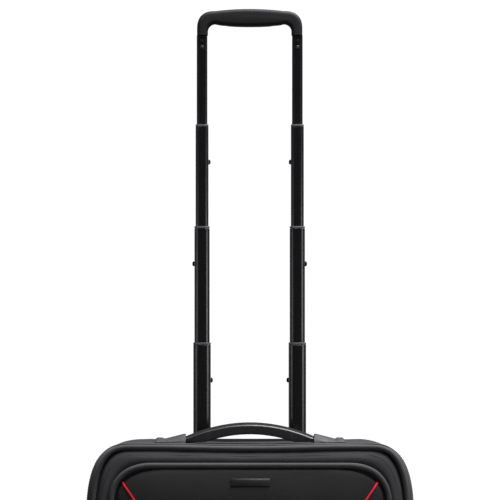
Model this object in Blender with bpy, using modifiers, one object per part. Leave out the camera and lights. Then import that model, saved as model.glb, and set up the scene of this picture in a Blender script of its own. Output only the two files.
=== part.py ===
"""Softside upright suitcase with a five-tube telescoping trolley handle.

Metres, +Z up, front face towards -Y.  The origin is on the floor, under the
middle of the case.  The handle is modelled fully extended, the lid closed.
"""
import math

import bmesh
import bpy
from mathutils import Matrix, Vector

# ---------------------------------------------------------------- driving sizes
GAP = 0.0003                     # clearance between pieces that touch

# Case body
HALF_WIDTH = 0.200
CASE_TOP = 0.450
CASE_BOTTOM = 0.040
BACK_Y = 0.100
BODY_FRONT_Y = -0.0655
BACK_FILLET = 0.020
TOP_CORNER = (0.048, 0.100)      # extents of a top corner, along X and along Z
BACK_CORNER = (0.070, 0.085)      # the soft top corners are rounder towards the back
BACK_SQUARENESS = 2.6
BOTTOM_CORNER = 0.045
SQUARENESS = 2.8                 # exponent of the case corners' superellipse
CORNER_STEPS = 8
BODY_WALL = 0.0035

# Lid and pocket
LID_BOTTOM = 0.046
LID_FRONT_Y = -0.0845
LID_WALL = 0.003
POCKET_FRONT_Y = -0.108
POCKET_BOTTOM = 0.070
POCKET_TOP = 0.4325
POCKET_HALF_WIDTH = 0.1715
POCKET_CORNER = 0.052
POCKET_SQUARENESS = 2.45
POCKET_CROWN = ((-0.0905, 0.0), (-0.0925, 0.009), (-0.0955, 0.026), (-0.1005, 0.060), (-0.1045, 0.095))
POCKET_FLAT_INSET = 0.135
ZIP_END_Z = 0.092                # the main zipper stops here on both sides
CHAIN_DEPTH = 0.0024             # one side of the zipper chain, along Y
BADGE_HALF_WIDTH = 0.024
BADGE_HALF_HEIGHT = 0.0045
BADGE_THICKNESS = 0.0016
BADGE_BACK_Y = -0.0954
BADGE_Z = 0.408
SLIDER_HEIGHTS = (("upper", 0.300), ("lower", 0.256))
SLIDER_PLATE = 0.0022
SLIDER_HALF = (0.0042, 0.006)    # along Y and along Z
TAB_THICKNESS = 0.0018
TAB_HALF_WIDTH = 0.0038
TAB_LENGTH = 0.0325

# Trolley handle
TUBE_X = 0.0602
TUBE_Y = 0.078
TUBE_WIDTH = 0.0135              # stage 1, across the case
TUBE_DEPTH = 0.0105
TUBE_STEP = 0.00288              # each outer tube is this much larger
TUBE_WALL = 0.0010
COLLAR_HEIGHT = 0.0025
STAGE_TOP = {4: 0.5721, 3: 0.7190, 2: 0.8476, 1: 0.9601}
STAGE_LENGTH = {4: 0.245, 3: 0.208, 2: 0.1866, 1: 0.1675}
PIN_DROP = 0.0475                # from a tube's top to its lock pin
PIN_SIDE = {4: -1, 3: 1, 2: -1}  # -1: pins face each other, 1: they face out
PIN_RADIUS = 0.0032
PIN_HEIGHT = 0.0024
GRIP_TOP = 0.9932
GRIP_HALF_WIDTH = 0.0665
GRIP_DEPTH = 0.024
GRIP_LEG = 0.0137
GRIP_CORNER = 0.024
GRIP_SQUARENESS = 2.6
GRIP_CROWN = 0.0026
GRIP_UNDERSIDE = 0.0190          # from the grip's top to the ends of its underside
GRIP_FILLET = 0.0095
GRIP_BELLY = 0.0028
BUTTON_HEIGHT = 0.0085
BUTTON_HALF_DEPTH = 0.0073
BUTTON_PROUD = 0.0012
BUTTON_HALF_WIDTH = 0.0315
BUTTON_TRAVEL = 0.004
CUP_FLOOR = 0.407
BASE_TUBE_BOTTOM = 0.0635
BEZEL_HALF = 0.081
BEZEL_FRONT_Y = 0.057
BEZEL_BACK_Y = 0.0962
BEZEL_LOW = 0.440
CUP_HALF = 0.0745
CUP_FRONT_Y = 0.0635
CUP_BACK_Y = 0.0925
CUP_WALL = 0.0018

# Top and side carry handles
CARRY_Y = 0.006
EAR_INNER_X = 0.0795
EAR_HEIGHT = 0.0105
EAR_HALF_DEPTH = 0.022           # at its foot
EAR_SLOPE = 0.95                 # how far the sides lean in for each metre up
CARRY_RISE = 0.0252              # top of the handle above the case top
CARRY_CLEARANCE = 0.0106         # finger gap under its middle
CARRY_REST_X = 0.0525            # here its underside comes down to the case
CARRY_SPLIT_X = 0.052            # where a flexible end meets the grip
CARRY_DEPTH = 0.020
SIDE_REACH = 0.212               # side handle and side feet stand out to here
SIDE_HANDLE_Z = 0.245
SIDE_GRIP_HALF = 0.088

# Wheels
WHEEL_RADIUS = 0.028
WHEEL_X = 0.166
WHEEL_Y = 0.080
WHEEL_WIDTH = 0.020
AXLE_RADIUS = 0.003
TYRE_THICKNESS = 0.0065
GUARD_INNER_X = 0.140
GUARD_FRONT_Y = 0.036
GUARD_TOP = 0.100
GUARD_WALL = 0.003
WELL_HALF = 0.0125
CHEEK = 0.004
FRONT_FOOT_X = 0.130
FRONT_FOOT_HALF = 0.026
FRONT_FOOT_Y = (-0.060, -0.022)
SIDE_FOOT_Z = (0.150, 0.330)
SIDE_FOOT_HALF = 0.009
SIDE_FEET_Y = (("front", -0.045), ("rear", 0.055))
SIDES = ((-1, "left"), (1, "right"))


# ------------------------------------------------------------------- materials
def material(name, colour, roughness, metallic=0.0):
    mat = bpy.data.materials.new(name)
    mat.use_nodes = True
    shader = mat.node_tree.nodes["Principled BSDF"]
    shader.inputs["Base Color"].default_value = (*colour, 1.0)
    shader.inputs["Roughness"].default_value = roughness
    shader.inputs["Metallic"].default_value = metallic
    mat.diffuse_color = (*colour, 1.0)
    return mat


def make_materials():
    return {
        "fabric": material("fabric", (0.035, 0.035, 0.038), 0.85),
        "panel": material("panel", (0.028, 0.028, 0.029), 0.75),
        "plastic": material("plastic", (0.030, 0.030, 0.032), 0.45),
        "grip": material("grip", (0.042, 0.042, 0.045), 0.50),
        "button": material("button", (0.10, 0.11, 0.13), 0.40),
        "tube": material("tube", (0.015, 0.015, 0.017), 0.30, 0.8),
        "collar": material("collar", (0.30, 0.30, 0.31), 0.35),
        "pin": material("pin", (0.05, 0.05, 0.05), 0.35),
        "steel": material("steel", (0.55, 0.55, 0.56), 0.30, 1.0),
        "rubber": material("rubber", (0.020, 0.020, 0.020), 0.70),
        "zipper": material("zipper", (0.022, 0.022, 0.023), 0.55),
        "slider": material("slider", (0.08, 0.08, 0.085), 0.35, 0.9),
        "badge": material("badge", (0.30, 0.30, 0.31), 0.30, 0.9),
    }


# --------------------------------------------------------------- scene helpers
def fresh_scene():
    for obj in list(bpy.data.objects):
        bpy.data.objects.remove(obj, do_unlink=True)
    parts = bpy.data.collections.new("suitcase")
    tools = bpy.data.collections.new("cutters")
    bpy.context.scene.collection.children.link(parts)
    bpy.context.scene.collection.children.link(tools)
    return parts, tools


def finish_mesh(name, bm, mat=None, smooth_angle=None):
    """Turn a bmesh into an object: a part when it has a material, else a tool."""
    bmesh.ops.recalc_face_normals(bm, faces=bm.faces)
    mesh = bpy.data.meshes.new(name)
    bm.to_mesh(mesh)
    bm.free()
    obj = bpy.data.objects.new(name, mesh)
    if mat is None:
        TOOLS.objects.link(obj)
        obj.hide_render = True
        obj.display_type = "WIRE"
    else:
        PARTS.objects.link(obj)
        mesh.materials.append(mat)
    if smooth_angle is not None:
        mesh.shade_smooth()
        mesh.set_sharp_from_angle(angle=math.radians(smooth_angle))
    return obj


def box(name, low, high, mat=None, bevel=0.0, segments=1):
    size = Vector(high) - Vector(low)
    centre = (Vector(high) + Vector(low)) / 2
    bm = bmesh.new()
    bmesh.ops.create_cube(bm, size=1.0, matrix=Matrix.Translation(centre) @ Matrix.Diagonal((*size, 1.0)))
    obj = finish_mesh(name, bm, mat)
    if bevel:
        add_bevel(obj, bevel, segments)
    return obj


def add_bevel(obj, width, segments=1, angle=40):
    mod = obj.modifiers.new("Bevel", "BEVEL")
    mod.width = width
    mod.segments = segments
    mod.limit_method = "ANGLE"
    mod.angle_limit = math.radians(angle)


def cylinder(name, centre, axis, radius, length, mat=None, sides=24, radius_end=None):
    turn = Vector((0, 0, 1)).rotation_difference(Vector(axis)).to_matrix().to_4x4()
    bm = bmesh.new()
    bmesh.ops.create_cone(
        bm, cap_ends=True, segments=sides, depth=length,
        radius1=radius, radius2=radius if radius_end is None else radius_end,
        matrix=Matrix.Translation(centre) @ turn)
    return finish_mesh(name, bm, mat, 35 if mat else None)


def boolean(obj, tool, operation="DIFFERENCE"):
    mod = obj.modifiers.new(operation.title(), "BOOLEAN")
    mod.operation = operation
    mod.object = tool
    mod.solver = "EXACT"


def loft(name, rings, mat=None, open_first=False, smooth_angle=None):
    """A body through rings of equal point counts; the last ring is capped."""
    bm = bmesh.new()
    loops = [[bm.verts.new(point) for point in ring] for ring in rings]
    for near, far in zip(loops, loops[1:]):
        for index in range(len(near)):
            after = (index + 1) % len(near)
            bm.faces.new((near[index], near[after], far[after], far[index]))
    if not open_first:
        bm.faces.new(loops[0])
    bm.faces.new(loops[-1])
    return finish_mesh(name, bm, mat, smooth_angle)


def prism(name, points, direction, mat=None, smooth_angle=None):
    """A flat outline of points, extruded along direction."""
    shift = Vector(direction)
    return loft(name, [points, [Vector(p) + shift for p in points]], mat, False, smooth_angle)


def add_shell(obj, thickness):
    mod = obj.modifiers.new("Solidify", "SOLIDIFY")
    mod.thickness = thickness
    mod.offset = -1.0
    mod.use_even_offset = True


# -------------------------------------------------------------------- outlines
def corner_points(extent_x, extent_z, squareness):
    """Quarter superellipse, from the +X side (first point) to the top (last)."""
    points = []
    for step in range(CORNER_STEPS + 1):
        turn = math.pi / 2 * step / CORNER_STEPS
        points.append((extent_x * math.cos(turn) ** (2 / squareness),
                       extent_z * math.sin(turn) ** (2 / squareness)))
    return points


def front_outline(half_width, bottom, top, corner_top, corner_bottom, y, squareness=SQUARENESS):
    """Closed outline in an XZ plane, starting at the right side's lower end."""
    wide, tall = corner_top
    right_top = [(half_width - wide + a, top - tall + b) for a, b in corner_points(wide, tall, squareness)]
    right_low = [(half_width - corner_bottom + a, bottom + corner_bottom - b)
                 for a, b in corner_points(corner_bottom, corner_bottom, squareness)]
    half = list(reversed(right_low)) + right_top
    points = half + [(-x, z) for x, z in reversed(half)]
    return [Vector((x, y, z)) for x, z in points]


def case_ring(y, bottom, inset, top_corner=TOP_CORNER, squareness=SQUARENESS):
    corner = (top_corner[0] - inset, top_corner[1] - inset)
    return front_outline(HALF_WIDTH - inset, bottom + inset, CASE_TOP - inset, corner, BOTTOM_CORNER - inset, y, squareness)


def body_ring(y, inset):
    return case_ring(y, CASE_BOTTOM, inset)


def body_rings(grow=0.0):
    """Outer form of the case body: straight sides, then a fillet to the back."""
    rings = [body_ring(BODY_FRONT_Y, -grow)]
    for step in range(6):
        turn = math.pi / 2 * step / 5
        rings.append(case_ring(BACK_Y + grow - BACK_FILLET * (1 - math.sin(turn)), CASE_BOTTOM,
                               BACK_FILLET * (1 - math.cos(turn)) - grow, BACK_CORNER, BACK_SQUARENESS))
    return rings


def lid_ring(y, inset):
    return case_ring(y, LID_BOTTOM, inset)


def tube_outline(width, depth, centre_x, centre_y, z):
    """Tube section: flat faces with large rounded corners."""
    corner = 0.26 * width
    points = []
    for quarter in range(4):
        sign_x = 1 if quarter in (0, 3) else -1
        sign_y = 1 if quarter in (0, 1) else -1
        for step in range(4):
            turn = math.pi / 2 * (quarter + step / 3)
            points.append(Vector((
                centre_x + sign_x * (width / 2 - corner) + corner * math.cos(turn),
                centre_y + sign_y * (depth / 2 - corner) + corner * math.sin(turn), z)))
    return points


def tube_size(stage):
    grow = TUBE_STEP * (stage - 1)
    return TUBE_WIDTH + grow, TUBE_DEPTH + grow


def hollow_tube(name, stage, side, bottom, top, mat, wall=TUBE_WALL):
    """One open-ended tube of a stage (stage 5 is the fixed base tube)."""
    width, depth = tube_size(stage)
    x = side * TUBE_X
    outer = [tube_outline(width, depth, x, TUBE_Y, z) for z in (bottom, top)]
    inner = [tube_outline(width - 2 * wall, depth - 2 * wall, x, TUBE_Y, z) for z in (top, bottom)]
    bm = bmesh.new()
    loops = [[bm.verts.new(p) for p in ring] for ring in outer + inner]
    for near, far in zip(loops, loops[1:] + loops[:1]):
        for index in range(len(near)):
            after = (index + 1) % len(near)
            bm.faces.new((near[index], near[after], far[after], far[index]))
    return finish_mesh(name, bm, mat, 30)


# ------------------------------------------------------------------- case body
def build_body(mats):
    body = loft("body_shell", body_rings(), mats["fabric"], open_first=True, smooth_angle=35)
    add_shell(body, BODY_WALL)
    bezel_hole = box("bezel_hole", (-BEZEL_HALF - GAP, BEZEL_FRONT_Y - GAP, CASE_TOP - BACK_FILLET),
                     (BEZEL_HALF + GAP, BEZEL_BACK_Y + GAP, CASE_TOP + 0.02))
    boolean(body, bezel_hole)
    for side, word in SIDES:
        low, high = guard_box(side, GAP)
        boolean(body, box("corner_notch_" + word, low, high))
    return body


def build_bezel(mats):
    """Recessed cup that the grip drops into, with a rim that follows the case top."""
    bezel = box("handle_bezel", (-BEZEL_HALF, BEZEL_FRONT_Y, BEZEL_LOW), (BEZEL_HALF, BEZEL_BACK_Y, 0.470),
                mats["plastic"])
    boolean(bezel, loft("bezel_form", body_rings(0.0015)), "INTERSECT")
    cup = box("cup_outside", (-CUP_HALF - CUP_WALL, CUP_FRONT_Y - CUP_WALL, CUP_FLOOR - 0.003),
              (CUP_HALF + CUP_WALL, CUP_BACK_Y + CUP_WALL, BEZEL_LOW + 0.001))
    boolean(bezel, cup, "UNION")
    boolean(bezel, box("cup_inside", (-CUP_HALF, CUP_FRONT_Y, CUP_FLOOR), (CUP_HALF, CUP_BACK_Y, 0.48)))
    width, depth = tube_size(5)
    for side, word in SIDES:
        hole = prism("cup_tube_hole_" + word,
                     tube_outline(width + 2 * GAP, depth + 2 * GAP, side * TUBE_X, TUBE_Y, CUP_FLOOR - 0.01),
                     (0, 0, 0.02))
        boolean(bezel, hole)
    return bezel


def build_tubes(mats):
    for side, word in SIDES:
        hollow_tube("base_tube_" + word, 5, side, BASE_TUBE_BOTTOM, CUP_FLOOR + 0.0015, mats["tube"])
        for stage in (4, 3, 2, 1):
            top = STAGE_TOP[stage]
            bottom = top - STAGE_LENGTH[stage]
            tube_top = top if stage == 1 else top - COLLAR_HEIGHT - GAP
            hollow_tube(f"stage{stage}_tube_{word}", stage, side, bottom, tube_top, mats["tube"])
            if stage == 1:
                continue
            hollow_tube(f"stage{stage}_collar_{word}", stage, side, top - COLLAR_HEIGHT, top, mats["collar"])
            facing = side * PIN_SIDE[stage]
            face_x = side * TUBE_X + facing * (tube_size(stage)[0] / 2 + GAP)
            cylinder(f"stage{stage}_pin_{word}", (face_x + facing * PIN_HEIGHT / 2, TUBE_Y, top - PIN_DROP),
                     (facing, 0, 0), PIN_RADIUS, PIN_HEIGHT, mats["pin"], 12, PIN_RADIUS * 0.7)


def build_base_bracket(mats):
    """Plate on the case floor that holds both base tubes."""
    floor = CASE_BOTTOM + BODY_WALL + GAP
    bracket = box("base_bracket", (-0.082, 0.060, floor - 0.002), (0.082, BACK_Y, BASE_TUBE_BOTTOM - GAP),
                  mats["plastic"], 0.003, 2)
    boolean(bracket, loft("bracket_form", body_rings(-BODY_WALL - GAP)), "INTERSECT")


def grip_outline():
    """Front outline of the grip: crowned top, two legs, and a belly underneath."""
    low = STAGE_TOP[1]
    outer = []
    for step in range(11):
        turn = math.pi / 2 * step / 10
        outer.append((GRIP_HALF_WIDTH - GRIP_CORNER * (1 - max(math.cos(turn), 0) ** (2 / GRIP_SQUARENESS)),
                      GRIP_TOP - GRIP_CROWN - GRIP_CORNER * (1 - math.sin(turn) ** (2 / GRIP_SQUARENESS))))
    flat_half = GRIP_HALF_WIDTH - GRIP_CORNER
    for step in range(1, 5):
        x = flat_half * (1 - step / 4)
        outer.append((x, GRIP_TOP - GRIP_CROWN * (x / flat_half) ** 2))
    inner_x = GRIP_HALF_WIDTH - GRIP_LEG
    under = GRIP_TOP - GRIP_UNDERSIDE
    inner = [(inner_x, low)]
    for step in range(6):
        turn = math.pi / 2 * step / 5
        inner.append((inner_x - GRIP_FILLET * (1 - math.cos(turn)), under - GRIP_FILLET * (1 - math.sin(turn))))
    belly_from = inner_x - GRIP_FILLET - 0.002
    for step in range(1, 6):
        share = step / 5
        inner.append((belly_from * (1 - share), under - GRIP_BELLY * math.sin(share * math.pi / 2)))
    right = [(GRIP_HALF_WIDTH, low)] + outer
    left = [(-x, z) for x, z in reversed(right[:-1])]
    inner_left = [(-x, z) for x, z in inner]
    return right + left + inner_left + list(reversed(inner[:-1]))


def build_grip(mats):
    low = STAGE_TOP[1]
    front = TUBE_Y - GRIP_DEPTH / 2
    grip = prism("grip", [Vector((x, front, z)) for x, z in grip_outline()], (0, GRIP_DEPTH, 0), mats["grip"], 35)
    add_bevel(grip, 0.0035, 2, 50)
    button_low = GRIP_TOP - GRIP_UNDERSIDE - GRIP_BELLY - BUTTON_PROUD
    slot_top = button_low + BUTTON_HEIGHT + BUTTON_TRAVEL + 0.0007
    slot_half = BUTTON_HALF_DEPTH + 0.0005
    boolean(grip, box("button_slot", (-BUTTON_HALF_WIDTH - 0.0012, TUBE_Y - slot_half, low),
                      (BUTTON_HALF_WIDTH + 0.0012, TUBE_Y + slot_half, slot_top)))
    for side, word in SIDES:
        boolean(grip, box("leg_trim_" + word, (side * TUBE_X - 0.02, front - 0.01, low - 0.01),
                          (side * TUBE_X + 0.02, front + GRIP_DEPTH + 0.01, low + GAP)))
    box("grip_button", (-BUTTON_HALF_WIDTH, TUBE_Y - BUTTON_HALF_DEPTH, button_low),
        (BUTTON_HALF_WIDTH, TUBE_Y + BUTTON_HALF_DEPTH, button_low + BUTTON_HEIGHT), mats["button"], 0.0015, 2)


# --------------------------------------------------------------- carry handles
def crescent(x):
    """Upper and lower height of the top handle above the case, at x."""
    upper = CARRY_RISE - 0.0172 * (x / EAR_INNER_X) ** 2
    lower = CARRY_CLEARANCE - 0.0086 * (x / CARRY_REST_X) ** 2
    return upper, max(lower, 0.0012)


def handle_slice(x, place):
    """Section of the top handle at x: a rounded block, as a ring of points."""
    upper, lower = crescent(x)
    half = CARRY_DEPTH / 2
    chamfer = min(0.0028, (upper - lower) * 0.3)
    section = [(-half + chamfer, lower), (half - chamfer, lower), (half, lower + chamfer),
               (half, upper - chamfer), (half - chamfer, upper), (-half + chamfer, upper),
               (-half, upper - chamfer), (-half, lower + chamfer)]
    return [place(x, a, b) for a, b in section]


def build_top_handle(mats):
    def place(x, across, up):
        return Vector((x, CARRY_Y + across, CASE_TOP + up))

    grip_xs = [CARRY_SPLIT_X * (2 * i / 10 - 1) for i in range(11)]
    loft("carry_grip", [handle_slice(x, place) for x in grip_xs], mats["grip"], smooth_angle=30)
    for side, word in SIDES:
        start = CARRY_SPLIT_X + GAP
        end = EAR_INNER_X + 0.0055
        xs = [side * (start + (end - start) * i / 5) for i in range(6)]
        loft("carry_end_" + word, [handle_slice(x, place) for x in xs], mats["grip"], smooth_angle=30)
        build_ear(side, word, mats)


def build_ear(side, word, mats):
    """Mound on the case top, with a pocket in its inner end for the handle's tip."""
    profile = [(0.0, EAR_HEIGHT - 0.001), (0.0015, EAR_HEIGHT), (0.010, EAR_HEIGHT - 0.0022), (0.0265, 0.0042),
               (0.0285, 0.0055), (0.0365, 0.0055), (0.0385, 0.0030)]
    rings = []
    for along, height in profile:
        x = side * (EAR_INNER_X + along)
        top_half = EAR_HALF_DEPTH - EAR_SLOPE * height
        section = ((-EAR_HALF_DEPTH, GAP), (EAR_HALF_DEPTH, GAP), (top_half, height), (-top_half, height))
        rings.append([Vector((x, CARRY_Y + a, CASE_TOP + b)) for a, b in section])
    ear = loft("ear_" + word, rings, mats["plastic"])
    far = side * (EAR_INNER_X + 0.0075)
    near = side * (EAR_INNER_X - 0.002)
    boolean(ear, box("ear_pocket_" + word, (min(far, near), CARRY_Y - CARRY_DEPTH / 2 - 0.0006, CASE_TOP - 0.002),
                     (max(far, near), CARRY_Y + CARRY_DEPTH / 2 + 0.0006, CASE_TOP + 0.0094)))


def build_side_handle(mats):
    """Padded strap on the +X side, and the two caps that hold its ends."""
    base = HALF_WIDTH + GAP
    rings = []
    for step in range(15):
        along = SIDE_GRIP_HALF * (step / 7 - 1)
        share = abs(along) / SIDE_GRIP_HALF
        thick = 0.0060 - 0.0035 * share ** 3
        rise = 0.0054 - 0.0040 * share ** 3
        half = 0.0145 - 0.0035 * share ** 2
        trim = thick * 0.3
        section = [(-half + trim, 0), (half - trim, 0), (half, trim), (half, thick - trim),
                   (half - trim, thick), (-half + trim, thick), (-half, thick - trim), (-half, trim)]
        rings.append([Vector((base + rise + b, a, SIDE_HANDLE_Z + along)) for a, b in section])
    loft("side_grip", rings, mats["grip"], smooth_angle=30)
    for turn, word in ((1, "upper"), (-1, "lower")):
        ends = sorted((SIDE_HANDLE_Z + turn * 0.082, SIDE_HANDLE_Z + turn * 0.112))
        cap = box("side_mount_" + word, (base, -0.0165, ends[0]), (SIDE_REACH, 0.0165, ends[1]),
                  mats["plastic"], 0.0025, 2)
        inner = SIDE_HANDLE_Z + turn * 0.080
        deep = SIDE_HANDLE_Z + turn * 0.0905
        boolean(cap, box("side_pocket_" + word, (base - 0.002, -0.0125, min(inner, deep)),
                         (SIDE_REACH - 0.0018, 0.0125, max(inner, deep))))


# -------------------------------------------------------------------- lower end
def guard_box(side, grow):
    """The corner volume that a wheel housing takes from the case body."""
    xs = sorted((side * (GUARD_INNER_X - grow), side * (HALF_WIDTH + 0.01)))
    return (xs[0], GUARD_FRONT_Y - grow, CASE_BOTTOM - 0.01), (xs[1], BACK_Y + 0.01, GUARD_TOP + grow)


def build_wheel_corner(side, word, mats):
    """Corner guard with a wheel well, its axle, and the wheel."""
    low, high = guard_box(side, 0.0)
    housing = box("wheel_housing_" + word, low, high, mats["plastic"])
    boolean(housing, loft("corner_form_" + word, body_rings(0.001)), "INTERSECT")
    reach = HALF_WIDTH - 0.0025
    xs = sorted((side * (GUARD_INNER_X - 0.01), side * reach))
    inside = box("corner_inside_" + word, (xs[0], GUARD_FRONT_Y - 0.01, CASE_BOTTOM + GUARD_WALL),
                 (xs[1], BACK_Y - 0.003, GUARD_TOP + 0.01))
    limit = loft("corner_inside_form_" + word, body_rings(-0.0025))
    boolean(inside, limit, "INTERSECT")
    boolean(housing, inside)
    outer = WELL_HALF + CHEEK
    well = box("wheel_block_" + word, (side * WHEEL_X - outer, WHEEL_Y - 0.0355, 0.0145),
               (side * WHEEL_X + outer, BACK_Y - 0.0005, 0.0645), None, 0.004, 2)
    boolean(housing, well, "UNION")
    boolean(housing, cylinder("wheel_space_" + word, (side * WHEEL_X, WHEEL_Y, WHEEL_RADIUS), (1, 0, 0),
                              WHEEL_RADIUS + 0.0035, 2 * WELL_HALF, sides=32))
    boolean(housing, box("wheel_way_out_" + word,
                         (side * WHEEL_X - WELL_HALF + 0.0001, WHEEL_Y - 0.0300, -0.01),
                         (side * WHEEL_X + WELL_HALF - 0.0001, BACK_Y + 0.02, WHEEL_RADIUS)))
    boolean(housing, cylinder("axle_hole_" + word, (side * WHEEL_X, WHEEL_Y, WHEEL_RADIUS), (1, 0, 0),
                              AXLE_RADIUS + GAP, 4 * outer, sides=16))
    add_bevel(housing, 0.0012, 1, 60)
    cylinder("axle_" + word, (side * WHEEL_X, WHEEL_Y, WHEEL_RADIUS), (1, 0, 0), AXLE_RADIUS,
             2 * outer + 0.001, mats["steel"], 16)
    turned_ring("tyre_" + word, side, WHEEL_RADIUS - TYRE_THICKNESS, WHEEL_RADIUS, WHEEL_WIDTH, 0.003, mats["rubber"])
    turned_ring("hub_" + word, side, AXLE_RADIUS + GAP, WHEEL_RADIUS - TYRE_THICKNESS - GAP, WHEEL_WIDTH + 0.002,
                0.001, mats["plastic"])


def turned_ring(name, side, inner, outer, width, edge, mat):
    """A ring turned about the wheel's axle, with its outer edges chamfered."""
    half = width / 2
    profile = [(inner, -half), (outer - edge, -half), (outer, -half + edge),
               (outer, half - edge), (outer - edge, half), (inner, half)]
    sides = 32
    bm = bmesh.new()
    rings = []
    for step in range(sides):
        turn = 2 * math.pi * step / sides
        rings.append([bm.verts.new((side * WHEEL_X + across, WHEEL_Y + radius * math.cos(turn),
                                    WHEEL_RADIUS + radius * math.sin(turn))) for radius, across in profile])
    for near, far in zip(rings, rings[1:] + rings[:1]):
        for index in range(len(profile)):
            after = (index + 1) % len(profile)
            bm.faces.new((near[index], near[after], far[after], far[index]))
    return finish_mesh(name, bm, mat, 35)


def build_lower_end(mats):
    for side, word in SIDES:
        build_wheel_corner(side, word, mats)
        foot_x = side * FRONT_FOOT_X
        box("front_foot_" + word, (foot_x - FRONT_FOOT_HALF, FRONT_FOOT_Y[0], 0.0),
            (foot_x + FRONT_FOOT_HALF, FRONT_FOOT_Y[1], CASE_BOTTOM - GAP), mats["plastic"], 0.005, 2)
    guard = box("rear_guard", (-GUARD_INNER_X + 0.002, BACK_Y - 0.026, CASE_BOTTOM - 0.006),
                (GUARD_INNER_X - 0.002, BACK_Y + 0.0035, CASE_BOTTOM + 0.034), mats["plastic"], 0.003, 2)
    boolean(guard, loft("rear_guard_form", body_rings(GAP)))
    for word, y in SIDE_FEET_Y:
        box("side_foot_" + word, (-SIDE_REACH, y - SIDE_FOOT_HALF, SIDE_FOOT_Z[0]),
            (-HALF_WIDTH - GAP, y + SIDE_FOOT_HALF, SIDE_FOOT_Z[1]), mats["plastic"], 0.004, 2)


# ------------------------------------------------------------------- front lid
def zipper_chain(name, y, mat):
    """One side of the main zipper's chain: a strip round both sides and the top."""
    outer = [p for p in body_ring(y, 0.0006) if p.z > ZIP_END_Z]
    inner = [p for p in body_ring(y, 0.0036) if p.z > ZIP_END_Z]
    for points, inset in ((outer, 0.0006), (inner, 0.0036)):
        points.insert(0, Vector((HALF_WIDTH - inset, y, ZIP_END_Z)))
        points.append(Vector((-HALF_WIDTH + inset, y, ZIP_END_Z)))
    outline = outer + list(reversed(inner))
    return prism(name, outline, (0, -CHAIN_DEPTH, 0), mat, 35)


def build_lid(mats):
    chain_y = BODY_FRONT_Y - GAP
    zipper_chain("zipper_chain_case", chain_y, mats["zipper"])
    zipper_chain("zipper_chain_lid", chain_y - CHAIN_DEPTH - GAP, mats["zipper"])
    edge_y = chain_y - 2 * CHAIN_DEPTH - 2 * GAP
    rings = [lid_ring(edge_y, 0.0010), lid_ring(edge_y - 0.003, 0.0010), lid_ring(LID_FRONT_Y + 0.005, 0.0050),
             lid_ring(LID_FRONT_Y + 0.001, 0.0100), lid_ring(LID_FRONT_Y, 0.0140)]
    lid = loft("lid_shell", rings, mats["fabric"], open_first=True, smooth_angle=35)
    add_shell(lid, LID_WALL)

    def pocket_ring(y, inset):
        corner = max(POCKET_CORNER - 0.6 * inset, 0.010)
        return front_outline(POCKET_HALF_WIDTH - inset, POCKET_BOTTOM + inset, POCKET_TOP - inset,
                             (corner, corner), corner, y, POCKET_SQUARENESS)

    rings = [pocket_ring(LID_FRONT_Y - GAP, 0.0)] + [pocket_ring(y, inset) for y, inset in POCKET_CROWN]
    rings.append(pocket_ring(POCKET_FRONT_Y, POCKET_FLAT_INSET))
    pocket = loft("pocket_panel", rings, mats["panel"], smooth_angle=35)
    low = (-BADGE_HALF_WIDTH, BADGE_BACK_Y - BADGE_THICKNESS, BADGE_Z - BADGE_HALF_HEIGHT)
    high = (BADGE_HALF_WIDTH, BADGE_BACK_Y, BADGE_Z + BADGE_HALF_HEIGHT)
    box("badge_plate", low, high, mats["badge"])
    boolean(pocket, box("badge_seat", Vector(low) - Vector((GAP, 0.02, GAP)), Vector(high) + Vector((GAP, GAP, GAP))))


def build_sliders(mats):
    """Two zipper sliders with pull tabs, on the straight stretch of the +X side."""
    middle_y = BODY_FRONT_Y - GAP - CHAIN_DEPTH - GAP / 2
    base = HALF_WIDTH + GAP
    half_y, half_z = SLIDER_HALF
    tab_half = TAB_THICKNESS / 2
    pivot_x = base + SLIDER_PLATE + 0.0005 + tab_half
    for word, z in SLIDER_HEIGHTS:
        box("zip_slider_" + word, (base, middle_y - half_y, z - half_z), (base + SLIDER_PLATE, middle_y + half_y, z + half_z),
            mats["slider"], 0.0008)
        tab = box("zip_tab_" + word, (pivot_x - tab_half, middle_y - TAB_HALF_WIDTH, z - TAB_LENGTH),
                  (pivot_x + tab_half, middle_y + TAB_HALF_WIDTH, z + tab_half), mats["slider"], 0.0004)
        boolean(tab, cylinder("tab_hole_" + word, (pivot_x, middle_y, z - TAB_LENGTH + 0.005), (1, 0, 0), 0.0016, 0.01,
                              sides=12))


PARTS, TOOLS = fresh_scene()


def main():
    mats = make_materials()
    build_body(mats)
    build_bezel(mats)
    build_tubes(mats)
    build_base_bracket(mats)
    build_grip(mats)
    build_top_handle(mats)
    build_side_handle(mats)
    build_lower_end(mats)
    build_lid(mats)
    build_sliders(mats)


main()
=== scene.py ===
"""Softside upright suitcase: the looks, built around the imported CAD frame."""
from math import atan2, copysign, cos, pi, radians, sin

import bmesh
import bpy
import numpy as np
from mathutils import Matrix, Vector, noise


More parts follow.
